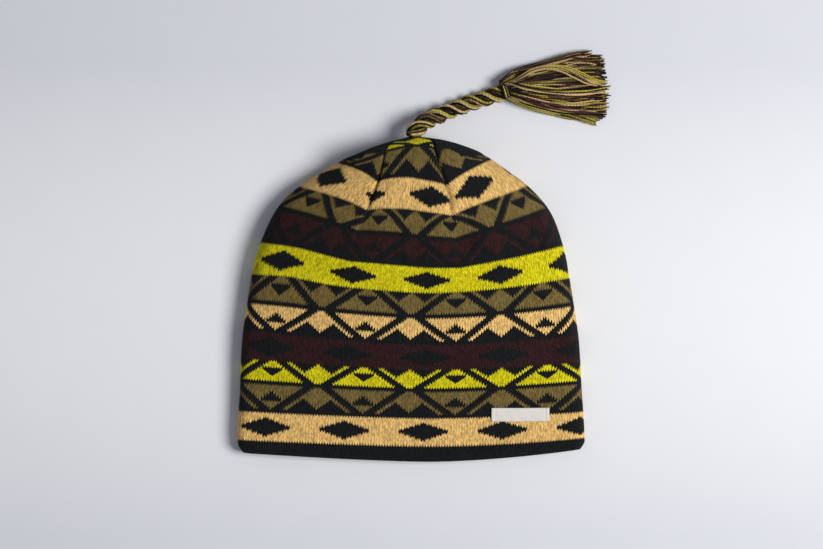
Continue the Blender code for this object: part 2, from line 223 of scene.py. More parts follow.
# A tassel yarn: how far it drifts, its height at the root and how much that varies, the least height
# and the rise of its arch, its wave, its highest place, and how much a sheaf's heights vary
YARN_DRIFT = 0.0022
YARN_ROOT = 0.0062
ROOT_VARIES = 0.0036
ARCH_LEAST = 0.004
ARCH_RISE = 0.0012
YARN_WAVE = 0.0004
YARN_HIGHEST = 0.0122
LEVEL_VARIES = 0.0030

# The tassel's sheaves: three broad ones underneath, then those above them from the upper edge down.
# Each has points of its middle line from the tie, its height and how far it spreads to a side, all in
# millimetres, and how many yarns it has, of which colours.
Sheaf = namedtuple("Sheaf", "points height spread yarns colours")
SHEAVES = [
    ([(-2, 3), (5, 7), (20, 10.5), (38, 13), (61, 14)], 1.6, 5.2, 60, "black maroon olive lime tan black"),
    ([(0, 0), (12, 0), (26, -1), (42, -1), (62, -0.5)], 1.6, 5.0, 60, "black maroon olive black tan olive"),
    ([(0, -2), (10, -5), (24, -8.5), (40, -11), (60, -12.5)], 1.6, 4.2, 54,
     "black olive maroon black lime black"),
    ([(-3, 6), (4, 11.5), (19, 16.2), (33, 20), (43, 22.2), (53.5, 23.6)], 3.5, 1.5, 30,
     "maroon tan black olive tan maroon black"),
    ([(-2, 5.5), (6, 11), (22, 15.5), (38, 18.5), (61, 20)], 2.5, 2.4, 34,
     "black maroon olive lime maroon tan"),
    ([(-1, 4.5), (8, 9), (25, 13), (42, 15.5), (61.5, 15.6)], 2.5, 2.2, 30, "maroon olive lime black tan"),
    ([(0, 4), (9, 8.8), (17, 13.1), (28, 15.4), (39, 14.0), (47.5, 10.2), (55.5, 6), (62, 4.6)],
     7.6, 1.1, 9, "tan olive tan tan lime tan lime olive lime"),
    ([(0, 3), (11, 6), (24, 8.6), (40, 10.6), (62, 10.5)], 2.0, 2.2, 34,
     "maroon olive black maroon tan black"),
    ([(-4, 6), (3, 5.4), (12, 4.2), (24, 4.9), (40, 5.6), (62.5, 6.5)], 3.4, 2.0, 32,
     "olive black maroon tan black maroon lime"),
    ([(-4, 6), (3, 5), (13, 2.2), (27, 0.2), (43, -0.4), (64.5, 1.0)], 5.6, 1.6, 24,
     "lime black olive tan black"),
    ([(1, 0), (14, -2.2), (30, -4.2), (46, -4.2), (63, -3.0)], 4.5, 2.0, 32, "black olive black lime maroon"),
    ([(1, -1.5), (14, -4.6), (30, -8.0), (46, -9.5), (64, -8.2)], 5.0, 2.0, 32,
     "maroon tan black maroon lime"),
    ([(1, -3), (14, -7.2), (30, -10.6), (46, -13.0), (62, -13.0)], 3.4, 1.9, 30,
     "olive lime maroon black tan"),
    ([(0, -3.6), (8, -7.4), (21, -11.2), (33, -13.4), (46, -16.0), (57.5, -19.2)], 3.0, 1.1, 28,
     "lime tan black maroon lime"),
]

# The label's folded ends: where the seam runs, how wide and deep it is, how far the fold reaches, how
# thick it is and how softly it ends, and how far the tape waves
SEAM_PLACE = 0.0022
SEAM_WIDTH = 0.00045
SEAM_DEPTH = 0.0002
END_REACH = 0.0021
END_THICK = 0.00025
END_SOFT = 0.00012
TAPE_WAVE = 0.00012

# The stage: the floor, the main light, the sky, and the camera's place and scale in the picture
FLOOR_SIZE = 6.0
FLOOR_LEVEL = -0.0002
KEY_PLACE = (1.5, -0.12, 1.74)
KEY_SIZE = 1.1
KEY_COLOUR = (1.0, 0.99, 0.97)
SKY_COLOUR = (0.84, 0.88, 1.0)
VIEW_PLACE = (0.00025, 0.0158)
VIEW_LEVEL = 0.015
PICTURE_PIXELS = 823
PIXEL = 0.000634
SENSOR = 36


# Settings

def tint(name, colour):
    return FloatVectorProperty(name=name, subtype="COLOR", size=3, min=0, max=1, default=colour)


def number(name, text, value, **limits):
    return FloatProperty(name=name, description=text, default=value, **limits)


def size(name, text, metres):
    return number(name, text, metres, min=0, unit="LENGTH", subtype="DISTANCE")


class KnitSettings(PropertyGroup):
    black: tint("Black", (0.0078, 0.0086, 0.0094))
    tan: tint("Tan", (0.77, 0.485, 0.163))
    maroon: tint("Maroon", (0.029, 0.0098, 0.0098))
    olive: tint("Olive", (0.167, 0.118, 0.036))
    lime: tint("Lime", (0.635, 0.56, 0.007))
    wall: size("Wall", "Thickness of the knit", 0.0026)
    wale_height: size("Wale height", "How far each column of stitches stands out", 0.00019)


class LabelSettings(PropertyGroup):
    width: size("Width", "Width of the label on the hat", 0.0368)
    height: size("Height", "Height of the label", 0.0087)
    thick: size("Thickness", "Thickness of the tape", 0.0009)
    tape: tint("Tape", (0.73, 0.685, 0.635))


class PlaitSettings(PropertyGroup):
    pitch: size("Pitch", "Length of one full turn of the plait", 0.0244)
    swing: size("Swing", "How far a strand swings to each side", 0.0030)
    rise: size("Rise", "How far a strand goes over and under", 0.0023)
    strand: size("Strand", "Thickness of a strand", 0.0052)
    yarn_thick: size("Yarn", "Thickness of one yarn", 0.0016)


class YarnSettings(PropertyGroup):
    black: tint("Loose black", (0.0105, 0.0100, 0.0095))
    lime: tint("Loose lime", (0.62, 0.53, 0.075))
    tan: tint("Loose tan", (0.80, 0.55, 0.26))
    maroon: tint("Loose maroon", (0.095, 0.027, 0.027))
    olive: tint("Loose olive", (0.165, 0.120, 0.040))


class TasselSettings(PropertyGroup):
    fullness: number("Fullness", "Yarns, as a share of the usual", 1.0, min=0.1, max=2)
    yarn_thick: size("Yarn", "Thickness of one yarn", 0.00096)
    seed: IntProperty(name="Seed", description="Chooses how the yarns fall", default=4)


class StageSettings(PropertyGroup):
    distance: size("Camera height", "Height of the camera above the hat", 2.0)
    floor: tint("Floor", (0.82, 0.825, 0.84))
    floor_far: tint("Floor above and below the hat", (0.69, 0.70, 0.745))
    key: number("Key light", "Strength of the main light", 53.0, min=0, unit="POWER")
    fill: number("Fill light", "Strength of the light from all round", 0.27, min=0)


# The hat's form

def unit(v):
    """A vector, or each of many, made 1 long."""
    v = np.asarray(v, float)
    return v / np.maximum(np.linalg.norm(v, axis=-1, keepdims=True), 1e-12)


def run_along(path):
    """How far along a path each of its points is."""
    return np.concatenate([[0], np.cumsum(np.linalg.norm(np.diff(path, axis=0), axis=1))])


def away(stitch, repeat):
    """How far a stitch is from the nearest whole number of repeats."""
    return abs((stitch + repeat / 2) % repeat - repeat / 2)


def through(knots, values, at):
    """A smooth curve through the values at the knots, read at one place or many."""
    knots = np.asarray(knots, float)
    values = np.asarray(values, float)
    slopes = np.gradient(values, knots)
    at = np.clip(at, knots[0], knots[-1])
    i = np.clip(np.searchsorted(knots, at, side="right") - 1, 0, len(knots) - 2)
    width = knots[i + 1] - knots[i]
    t = (at - knots[i]) / width
    return (
        (2 * t**3 - 3 * t**2 + 1) * values[i]
        + (t**3 - 2 * t**2 + t) * width * slopes[i]
        + (3 * t**2 - 2 * t**3) * values[i + 1]
        + (t**3 - t**2) * width * slopes[i + 1]
    )


def section_at(row):
    columns = list(zip(*SECTIONS))
    section = Section(*[float(through(columns[0], column, row)) for column in columns])
    return section._replace(under=max(section.under, 0.0))


def ring(row, points=160):
    """The shell's outer line at a knit row, from the front's middle wale round."""
    s = section_at(row)
    half_width = HAT_WIDTH / 2
    middle = half_width * (s.right - s.left) / 2
    half = half_width * (s.right + s.left) / 2
    height = LOFT * (s.over - s.under)
    fold_z = min(LOFT * s.fold, height / 2)
    fold_x = min(fold_z, half)
    flat = half - fold_x
    turn = np.linspace(math.pi / 2, -math.pi / 2, points)
    run = np.linspace(0, 1, points)
    x = np.concatenate([run * flat, flat + fold_x * np.cos(turn), (1 - 2 * run) * flat,
                        -flat - fold_x * np.cos(turn), (run - 1) * flat])
    level = np.concatenate([np.ones(points), np.sin(turn), -np.ones(points), -np.sin(turn), np.ones(points)])
    across = x / max(half, 1e-6)
    rise = (1 - np.abs(across) ** TOP_SHAPE) * (level + 1) / 2
    z = LOFT * s.under + fold_z * (1 + level) + (height - 2 * fold_z) * rise
    lean = across - ROW_LEAN * (1 - across**2)
    side = np.where(lean < 0, s.y_left, s.y_right)
    y = HAT_LENGTH * (s.y_mid + (side - s.y_mid) * np.abs(lean) ** ROW_SHAPE - 0.5)
    beside = (across + LIFT_ASIDE) / LIFT_REACH
    y += HAT_LENGTH * LIFT * np.exp(-(beside**2) - ((row - LIFT_ROW) / LIFT_ROWS) ** 2)
    y += BACK_SHORT * np.clip(-level, 0, 1) * max(0.0, 1 - row / BACK_ROWS) * (1 - across**2)
    line = np.stack([x + middle, y, z], axis=1)
    step = np.linalg.norm(np.diff(line, axis=0), axis=1)
    along = np.concatenate([[0], np.cumsum(step)])
    keep = np.concatenate([[True], step > 1e-9])
    line, along = line[keep], along[keep]
    front = (along < along[-1] * 0.2) | (along > along[-1] * 0.8)
    signed = np.where(along > along[-1] / 2, along - along[-1], along)
    order = np.argsort(signed[front])
    start = np.interp(half_width * s.wale, line[front][order][:, 0], signed[front][order])
    return line, along, start, s


def on_ring(row, stitches):
    """Points of the shell's outer line at a knit row, for stitches counted from wale 0."""
    line, along, start, s = ring(row)
    past = np.asarray(stitches, float) - FRONT_WALE
    share = past / STITCHES
    turn = math.tau * share
    shift = s.gather * np.sin(2 * turn) / 2 + s.roll * (np.sin(turn) + 1 - np.cos(turn))
    share = share + shift / (math.tau)
    at = (start + share * along[-1]) % along[-1]
    points = np.stack([np.interp(at, along, line[:, k]) for k in range(3)], axis=1)
    beside = np.abs(away(past, STITCHES) - STITCHES / 4) - GORE_STITCHES
    points[:, 1] -= HAT_LENGTH * s.sag * np.exp(-(np.abs(beside / SAG_REACH) ** SAG_SHAPE))
    return points


def dart(row, stitches):
    """How much of a dart's crease there is at each stitch, from 0 to 1."""
    beside = away(np.asarray(stitches, float) - FIRST_DART, GORE_STITCHES)
    strength = np.clip((row - DART_ROW) / (DART_FULL_ROW - DART_ROW), 0, 1)
    strength *= np.clip((KNIT_ROWS - row) / DART_END_ROWS, 0, 1)
    return strength * np.exp(-((beside / DART_REACH) ** 2))


def relief(row, stitches, height):
    """How far the surface stands out from its plain form at the darts and soft folds."""
    out = -DART_DEPTH * dart(row, stitches)
    for fold in FOLDS:
        aside = (np.asarray(stitches, float) - fold.stitch) / fold.stitches
        dip = np.exp(-(aside**2) - ((row - fold.row) / fold.rows) ** 2)
        out = out - FOLD_DEPTH * fold.depth * dip
    return out * np.clip(height / (LOFT * RELIEF_FADE), 0, 1)


def with_normals(row, stitches):
    """Points of the outer surface at a row, and which way is out and which is up at each."""
    small = 0.25
    here = on_ring(row, stitches)
    low, high = max(0, row - small), min(KNIT_ROWS, row + small)
    up = on_ring(high, stitches) - on_ring(low, stitches)
    side = on_ring(row, np.asarray(stitches) + small) - on_ring(row, np.asarray(stitches) - small)
    normal = unit(np.cross(side, up))
    return here + normal * relief(row, stitches, here[:, 2])[:, None], normal, up


def pattern_stitch(row, stitches, inside):
    """The chart's stitch for stitches in the gore that inside, one of its stitches, names.

    A gore has fewer stitches of the chart to the crown. The count starts afresh past the back's
    middle, where the pattern meets itself at a seam.
    """
    middle = FRONT_WALE + GORE_STITCHES * np.floor((inside - FIRST_DART) / GORE_STITCHES)
    rows, counts = zip(*GORE_PATTERN)
    chart = middle + (stitches - middle) * np.interp(row, rows, counts) / GORE_STITCHES
    return chart - np.where(inside > FRONT_WALE + STITCHES / 2, STITCHES, 0)


# Meshes

def new_piece(name, points, faces, finish):
    mesh = bpy.data.meshes.new(name)
    mesh.from_pydata([tuple(map(float, p)) for p in points], [], faces)
    mesh.validate()
    piece = bpy.data.objects.new(name, mesh)
    bpy.context.scene.collection.objects.link(piece)
    mesh.materials.append(finish)
    mesh.shade_smooth()
    return piece


def tube(path, radius, sides, turn=0.0):
    """The points and faces of a tube along a path, with a flat cap at each end."""
    path = np.asarray(path, float)
    way = unit(np.gradient(path, axis=0))
    side = np.cross(way, [0.0, 0.0, 1.0])
    steep = np.linalg.norm(side, axis=1) < 0.15
    side[steep] = np.cross(way[steep], [0.0, 1.0, 0.0])
    side = unit(side)
    up = np.cross(side, way)
    radius = np.broadcast_to(radius, len(path))
    points = []
    for k in range(sides):
        a = turn + math.tau * k / sides
        points.append(path + (side * math.cos(a) + up * math.sin(a)) * radius[:, None])
    points = np.stack(points, axis=1).reshape(-1, 3)
    faces = []
    for r in range(len(path) - 1):
        for k in range(sides):
            n = (k + 1) % sides
            faces.append((r * sides + k, r * sides + n, (r + 1) * sides + n, (r + 1) * sides + k))
    last = (len(path) - 1) * sides
    faces.append(tuple(range(sides - 1, -1, -1)))
    faces.append(tuple(range(last, last + sides)))
    return points, faces


class Bundle:
    """Gathers tubes into one mesh, with each one's colour number, length coordinate and light."""

    def __init__(self):
        self.points, self.faces, self.shades, self.along = [], [], [], []
        self.count = 0

    def add(self, path, radius, sides, shade, turn=0.0, lit=1.0):
        points, faces = tube(path, radius, sides, turn)
        run = run_along(path)
        self.points.append(points)
        self.faces += [tuple(self.count + i for i in f) for f in faces]
        self.shades.append(np.full(len(points), shade, np.float32))
        around = np.tile(np.arange(sides) / sides, len(run))
        lit = np.repeat(np.broadcast_to(lit, len(run)), sides)
        self.along.append(np.stack([np.repeat(run, sides) * 1000, around, lit], axis=1))
        self.count += len(points)

    def make(self, name, finish):
        piece = new_piece(name, np.concatenate(self.points), self.faces, finish)
        shades = piece.data.attributes.new("yarn", "FLOAT", "POINT")
        shades.data.foreach_set("value", np.concatenate(self.shades))
        along = piece.data.attributes.new("twist", "FLOAT_VECTOR", "POINT")
        along.data.foreach_set("vector", np.concatenate(self.along).astype(np.float32).ravel())
        return piece


# Shader maths

def feed(tree, place, value):
    """Links a value to a node's input, or sets the input to a plain number, colour or vector."""
    if isinstance(value, Value):
        tree.links.new(value.socket, place)
    else:
        place.default_value = value


def calculated(tree, operation, *values):
    node = tree.nodes.new("ShaderNodeMath")
    node.operation = operation
    for place, value in zip(node.inputs, values):
        feed(tree, place, value)
    return Value(tree, node.outputs[0])


class Value:
    """A socket that adds Math nodes when it is used in an expression."""

    def __init__(self, tree, socket):
        self.tree, self.socket = tree, socket

    def math(self, operation, *others):
        return calculated(self.tree, operation, self, *others)

    def __rsub__(self, other):
        return calculated(self.tree, "SUBTRACT", other, self)

    __add__ = partialmethod(math, "ADD")
    __radd__ = __add__
    __sub__ = partialmethod(math, "SUBTRACT")
    __mul__ = partialmethod(math, "MULTIPLY")
    __truediv__ = partialmethod(math, "DIVIDE")
    __mod__ = partialmethod(math, "FLOORED_MODULO")
    __pow__ = partialmethod(math, "POWER")
    __lt__ = partialmethod(math, "LESS_THAN")
    __gt__ = partialmethod(math, "GREATER_THAN")
    __abs__ = partialmethod(math, "ABSOLUTE")
    __floor__ = partialmethod(math, "FLOOR")


def either(first, *others):
    for other in others:
        first = first.math("MAXIMUM", other)
    return first


class Finish:
    """A material with one Principled shader, and short ways to add nodes to it."""

    def __init__(self, name, roughness, sheen=0.0, sheen_roughness=0.5):
        self.material = bpy.data.materials.new(name)
        self.material.use_nodes = True
        self.tree = self.material.node_tree
        self.shader = self.tree.nodes["Principled BSDF"]
        self.shader.inputs["Roughness"].default_value = roughness
        self.shader.inputs["Sheen Weight"].default_value = sheen
        self.shader.inputs["Sheen Roughness"].default_value = sheen_roughness
        self.shader.inputs["Specular IOR Level"].default_value = 0.12

    def node(self, kind, settings=None, output=0, **sockets):
        node = self.tree.nodes.new("ShaderNode" + kind)
        for name, value in (settings or {}).items():
            setattr(node, name, value)
        for name, value in sockets.items():
            feed(self.tree, node.inputs[name], value)
        return Value(self.tree, node.outputs[output])

    def noise(self, vector, scale, detail, dimensions="2D", **sockets):
        settings = {"noise_dimensions": dimensions}
        return self.node("TexNoise", settings, 0, Vector=vector, Scale=scale, Detail=detail, **sockets)

    def cell_noise(self, x, y):
        cell = self.node("CombineXYZ", None, 0, X=x, Y=y, Z=0.0)
        return self.node("TexWhiteNoise", {"noise_dimensions": "3D"}, 0, Vector=cell)

    def steps(self, at, stops):
        """Colours that change at once at their places on a ramp."""
        node = self.tree.nodes.new("ShaderNodeValToRGB")
        ramp = node.color_ramp
        while len(ramp.elements) < len(stops):
            ramp.elements.new(1.0)
        for element, (place, colour) in zip(ramp.elements, stops):
            element.position = place
            element.color = (*colour, 1)
        ramp.interpolation = "CONSTANT"
        feed(self.tree, node.inputs["Fac"], at)
        return Value(self.tree, node.outputs[0])

    def mix(self, share, first, second, blend="MIX"):
        node = self.tree.nodes.new("ShaderNodeMix")
        node.data_type = "RGBA"
        node.blend_type = blend
        for place, value in ((0, share), (6, first), (7, second)):
            ready = isinstance(value, (Value, float))
            feed(self.tree, node.inputs[place], value if ready else (*value, 1))
        return Value(self.tree, node.outputs[2])

    def scaled(self, colour, amount):
        """A colour made lighter or darker by a number that varies."""
        grey = self.node("CombineColor", {"mode": "RGB"}, Red=amount, Green=amount, Blue=amount)
        return self.mix(1.0, colour, grey, "MULTIPLY")

    def colour(self, value):
        self.tree.links.new(value.socket, self.shader.inputs["Base Color"])

    def bump(self, height, distance, strength=1.0):
        made = self.node("Bump", None, 0, Height=height, Distance=distance, Strength=strength)
        self.tree.links.new(made.socket, self.shader.inputs["Normal"])

    def xyz(self, vector):
        node = self.tree.nodes.new("ShaderNodeSeparateXYZ")
        self.tree.links.new(vector.socket, node.inputs[0])
        return [Value(self.tree, out) for out in node.outputs]


# Finishes

def knit_finish(k):
    """The charted knit: V stitches in five yarns, counted on the piece's own map, with painted shade in the
    grooves between stitches and along the darts' creases.
    """
    f = Finish("patterned_knit", 0.95, sheen=0.03)
    place = f.node("UVMap", {"uv_map": "chart"})
    c, v, _ = f.xyz(place)
    i = math.floor(c + 0.5)
    fraction = c + 0.5 - i
    t = abs(fraction - 0.5) * 2
    v_stitch = v + (t * math.pi).math("COSINE") * 0.5
    j = math.floor(v_stitch)
    inside = v_stitch - j

    w = j - HEM_ROWS
    block = math.floor(w / UNIT_ROWS)
    r = w - block * UNIT_ROWS
    which = (block + 0.5) / len(BAND_YARNS)

    def by_block(names):
        return f.steps(which, [(n / len(names), getattr(k, name)) for n, name in enumerate(names)])

    def row_in_unit(shift):
        return math.floor(v_stitch + shift) - HEM_ROWS - block * UNIT_ROWS

    def diamond_at(shift):
        row = row_in_unit(shift)
        wide = away(i - DIAMOND_STITCH, DIAMOND_REPEAT) < DIAMOND_HALF - abs(row - DIAMOND_ROW) * DIAMOND_STEP
        return wide * (row > DIAMOND_ROW - DIAMOND_RISE) * (row < DIAMOND_ROW + DIAMOND_RISE)

    diamond = either(diamond_at(0.7), diamond_at(-0.7), diamond_at(0.0))
    band = (r < BAND_ROWS - 0.5) * (1 - diamond)

    def crossed_at(shift):
        p = row_in_unit(shift) - BAND_ROWS
        d = abs(p - LATTICE_ROW) - 0.5
        a = away(i, LATTICE_REPEAT)
        wedge = (d > WEDGE_ROW) * (a > WEDGE_SIDE - d) * (a < d - WEDGE_EDGE)
        centre = (a < d + 0.5) * (1 - wedge)
        black = either(LATTICE_REPEAT / 2 - a < LATTICE_REACH - d, centre)
        return black * (d > 0.5) * (d < LATTICE_REACH - (p > LATTICE_ROW)) * (p > -0.5)

    def triangle_at(shift, aside):
        p = row_in_unit(shift) - BAND_ROWS
        b = LATTICE_REPEAT / 2 - away(math.floor(c + 0.5 + aside), LATTICE_REPEAT)
        n = abs(p - LATTICE_ROW) - TRIANGLE_ROW + (p > LATTICE_ROW)
        return (n > -0.5) * (n < TRIANGLE_ROWS) * (b < n + 0.5) * (p > -0.5)

    triangle = either(*(triangle_at(shift, aside) for shift in (0.2, -0.6) for aside in (0.3, -0.3)))
    crossed = crossed_at(0.2) * crossed_at(-0.2) * (1 - triangle)
    upper = r > BAND_ROWS + LATTICE_ROW
    out = abs(c - FRONT_WALE)
    sides = (out > CROWN_STITCHES) * (j > CROWN_ROW - 0.5)
    corners = (out > CORNER_STITCHES) * (j > CORNER_ROW - 0.5)
    crossed = crossed * (1 - either(sides, corners))

    charted = (v_stitch > HEM_ROWS) * (j < TOP_ROW - 0.5)
    band_colour = by_block(BAND_YARNS)
    colour = f.mix(upper, by_block(LOW_YARNS), by_block(HIGH_YARNS))
    colour = f.mix(crossed * charted, k.black, colour)
    colour = f.mix(band * charted, colour, band_colour)

    dice = f.cell_noise(math.floor(c * 2 + 1), j)
    cloudy = f.noise(place, 0.12, 3.0, Roughness=0.6)
    fibre = f.noise(place, 3.0, 4.0, Roughness=0.7)
    crease = f.node("Attribute", {"attribute_name": "crease"}, 2)

    bulge = (1 - t * t).math("POWER", 0.42)
    split = (t * 4).math("MINIMUM", 1.0)
    yarn_end = 1 - (abs(inside - 0.5) * 2) ** 3
    height = bulge * (0.84 + split * 0.16) * 0.52 + yarn_end * 0.48
    by_stitch = 0.6 + dice * 0.75
    by_cloud = 0.92 + cloudy * 0.16
    by_fibre = 0.78 + fibre * 0.44
    # The knit is painted darker along the darts' creases: painted shade.
    painted_crease_shade = 1 - crease * 0.45
    # The stitches' relief also darkens the colour in the grooves between wales and rows: painted shade. The
    # random stitch, cloud and fibre factors are the yarn's own uneven tone.
    f.colour(f.scaled(colour, (0.4 + height * 0.8) * by_stitch * by_cloud * by_fibre * painted_crease_shade))
    f.bump(height + fibre * 0.35, 0.00042, 1.0)
    return f.material


def inner_finish(k):
    """The back of the knit, where the floats of all the yarns lie across each other."""
    f = Finish("knit_inside", 0.95, sheen=0.2)
    c, v, _ = f.xyz(f.node("UVMap", {"uv_map": "chart"}))
    j = math.floor(v)
    float_stitches = 3
    float_shift = 0.37
    dice = f.cell_noise(math.floor(c / float_stitches + j * float_shift), j)
    floats = f.steps(dice, [(0.0, k.black), (0.62, k.maroon), (0.74, k.olive), (0.86, k.tan), (0.93, k.lime)])
    bump = 1 - (abs(v - j - 0.5) * 2) ** 2
    # Each row is painted darker towards its edges, and the bump uses the same profile: painted shade between
    # the rows.
    f.colour(f.scaled(floats, 0.35 + bump * 0.4))
    f.bump(bump, 0.0006, 0.8)
    return f.material


def tape_finish(s):
    """A cream satin tape with a fine close weave, on a map in millimetres."""
    f = Finish("woven_tape", 0.6, sheen=0.15)
    place = f.node("UVMap", {"uv_map": "weave"})
    u, v, _ = f.xyz(place)
    warp_step = 0.34
    weft_step = 0.30
    edge_from = 3.4
    warp = (u * (math.tau / warp_step)).math("SINE")
    weft = (v * (math.tau / weft_step)).math("SINE")
    weave = warp * weft
    cloudy = f.noise(place, 0.35, 4.0)
    edge = (abs(v) - edge_from).math("MAXIMUM", 0.0)
    f.colour(f.scaled(s.tape, 0.93 + weave * 0.03 + cloudy * 0.1 - edge * 0.05))
    f.bump(weave * 0.5 + cloudy, 0.00008, 0.6)
    return f.material


def yarn_finish(name, k):
    """Soft plied yarn: each yarn's own colour, with the plies' twist along it in millimetres painted as light
    and dark stripes, and scaled by each point's painted light and shade.
    """
    f = Finish(name, 0.9, sheen=0.05, sheen_roughness=0.4)
    shade = f.node("Attribute", {"attribute_name": "yarn"}, 2)
    along, around, lit = f.xyz(f.node("Attribute", {"attribute_name": "twist"}, 1))
    colour = f.steps(shade, [(n / len(YARNS), getattr(k, yarn)) for n, yarn in enumerate(YARNS)])
    ply_length = 2.1
    ply = ((along * (math.tau / ply_length)) + around * (4 * math.pi)).math("SINE")
    cell = f.node("CombineXYZ", None, 0, X=along * 0.8, Y=shade * 900, Z=0.0)
    mottle = f.noise(cell, 1.0, 3.0, "3D", Roughness=0.7)
    f.colour(f.scaled(colour, (0.35 + mottle * 1.0) * (0.88 + ply * 0.2) * lit))
    f.bump(ply * 0.5 + mottle * 0.6, 0.00018, 0.7)
    return f.material


def floor_finish(s):
    f = Finish("plain_floor", 0.85)
    place = f.node("TexCoord", None, 3)
    _, y, _ = f.xyz(place)
    fall_off = 44
    # The floor is painted darker and bluer above and below the hat: painted shade of the light's fall-off.
    far = (y * y * fall_off).math("MINIMUM", 1.0)
    grain = f.noise(place, 40.0, 3.0, "3D")
    f.colour(f.scaled(f.mix(far, s.floor, s.floor_far), 0.985 + grain * 0.03))
    return f.material


# Pieces

def own(piece, *nodes, slot):
    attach(piece, "root")
    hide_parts(*nodes)
    return piece


def crown_tip():
    return on_ring(KNIT_ROWS, np.arange(0, STITCHES, GORE_STITCHES / 10) + FRONT_WALE).mean(axis=0)


def cord_line(points):
    """The plait's middle line: the route of the part's cord, with many points."""
    tip = crown_tip()
    radius = CORD_DIAMETER / 2
    down = radius - tip[2]
    route = np.array([(tip[0] + x, tip[1] + y, tip[2] + down * fall) for x, y, fall in CORD_ROUTE])
    route[:, 1] += GAP + radius * CORD_TILT
    along = run_along(route)
    at = np.linspace(0, along[-1], points)
    return np.stack([through(along, route[:, k], at) for k in range(3)], axis=1), along[-1]


def cord_end():
    line, _ = cord_line(40)
    end = line[-1] - line[-2]
    return line[-1], unit([end[0], end[1], 0.0])


class BEANIE_OT_stage(Operator):
    """Adds the floor, the soft lights and the camera above"""

    bl_idname = "beanie.stage"
    bl_label = "Stage"

    def execute(self, context):
        s = context.scene.beanie_stage
        bpy.ops.object.select_all(action="DESELECT")
        bpy.ops.mesh.primitive_plane_add(size=FLOOR_SIZE, location=(0, 0, FLOOR_LEVEL))
        floor = context.object
        floor.name = floor.data.name = "floor"
        bpy.ops.object.transform_apply(location=True, rotation=True, scale=True)
        floor.data.materials.append(floor_finish(s))

        bpy.ops.object.light_add(type="AREA", location=KEY_PLACE)
        key = context.object
        key.name = "key_light"
        key.data.shape = "DISK"
        key.data.size = KEY_SIZE
        key.data.energy = s.key
        key.data.color = KEY_COLOUR
        key.rotation_euler = (-key.location).to_track_quat("-Z", "Y").to_euler()

        world = bpy.data.worlds.new("studio")
        context.scene.world = world
        world.use_nodes = True
        sky = world.node_tree.nodes["Background"]
        sky.inputs["Color"].default_value = (*SKY_COLOUR, 1)
        sky.inputs["Strength"].default_value = s.fill

        bpy.ops.object.camera_add(location=(*VIEW_PLACE, s.distance + VIEW_LEVEL), rotation=(0, 0, 0))
        camera = context.object
        camera.name = "camera"
        camera.data.sensor_width = SENSOR
        camera.data.lens = SENSOR * s.distance / (PICTURE_PIXELS * PIXEL)
        camera.data.clip_end = 20
        context.scene.camera = camera
        context.scene.view_settings.view_transform = "Standard"
        context.scene.view_settings.look = "None"
        return {"FINISHED"}


class BEANIE_OT_plait(Operator):
    """Lays the cord's three strands of yarn round each other along its route"""

    bl_idname = "beanie.plait"
    bl_label = "Plait"

    def execute(self, context):
        s = context.scene.beanie_plait
        line, length = cord_line(PLAIT_POINTS)
        step = length / (len(line) - 1)
        before = np.arange(-PLAIT_LEAD, 0)[:, None] * step * unit(line[1] - line[0])
        line = np.concatenate([line[0] + before, line])
        run = (np.arange(len(line)) - PLAIT_LEAD) * step
        way = unit(np.gradient(line, axis=0))
        side = unit(np.cross(way, [0.0, 0.0, 1.0]))
        up = np.cross(side, way)
        tilt = math.radians(PLAIT_ROLL)
        side, up = side * math.cos(tilt) + up * math.sin(tilt), up * math.cos(tilt) - side * math.sin(tilt)
        rng = random.Random(11)
        bundle = Bundle()
        # Black tubes along the plait and inside each strand fill the gaps between yarns: painted shade.
        bundle.add(line, s.strand * PLAIT_SHADE_CORE, 10, SHADE["black"])
        for strand, cast in enumerate(PLAIT_CAST):
            phase = math.tau * (run / s.pitch + strand / len(PLAIT_CAST) + PLAIT_PHASE)
            loose = 1 + LOOSE_START * np.exp(-np.maximum(run, 0) / LOOSE_REACH)
            over = s.rise * (np.cos(phase) - LOBE_LEAN * np.sin(2 * phase))
            middle = line + side * (s.swing * loose * np.sin(phase))[:, None] + up * over[:, None]
            bundle.add(middle, s.strand * STRAND_SHADE_CORE, 8, SHADE["black"])
            for n, colour in enumerate(cast):
                angle = math.tau * n / len(cast) + STRAND_TURN * strand - run * math.tau / STRAND_LAY
                wobble = 1 + 0.05 * np.sin(run * rng.uniform(300, 900) + rng.uniform(0, 6))
                reach = (s.strand - s.yarn_thick) / 2 * rng.uniform(0.92, 1.06) * wobble
                to_side = (reach * np.cos(angle))[:, None]
                to_top = (reach * np.sin(angle) * STRAND_FLAT)[:, None]
                path = middle + side * to_side + up * to_top
                thick = s.yarn_thick / 2 * rng.uniform(0.85, 1.15) * (1 + 0.1 * np.sin(run * 1900 + n))
                # Yarns on the outside of the plait are painted lighter and those turned into the gaps darker:
                # painted light and shade.
                facing = np.cos(angle) * np.sin(phase) + np.sin(angle) * np.cos(phase)
                lit = 0.13 + 0.72 * np.clip(0.34 + facing * 0.8, 0, 1)
                bundle.add(path, thick, 6, SHADE[colour] + rng.uniform(-0.06, 0.06), lit=lit)
        piece = bundle.make("plait", yarn_finish("plait_yarn", context.scene.beanie_yarn))
        own(piece, "braid_cord", slot="yarn")
        return {"FINISHED"}


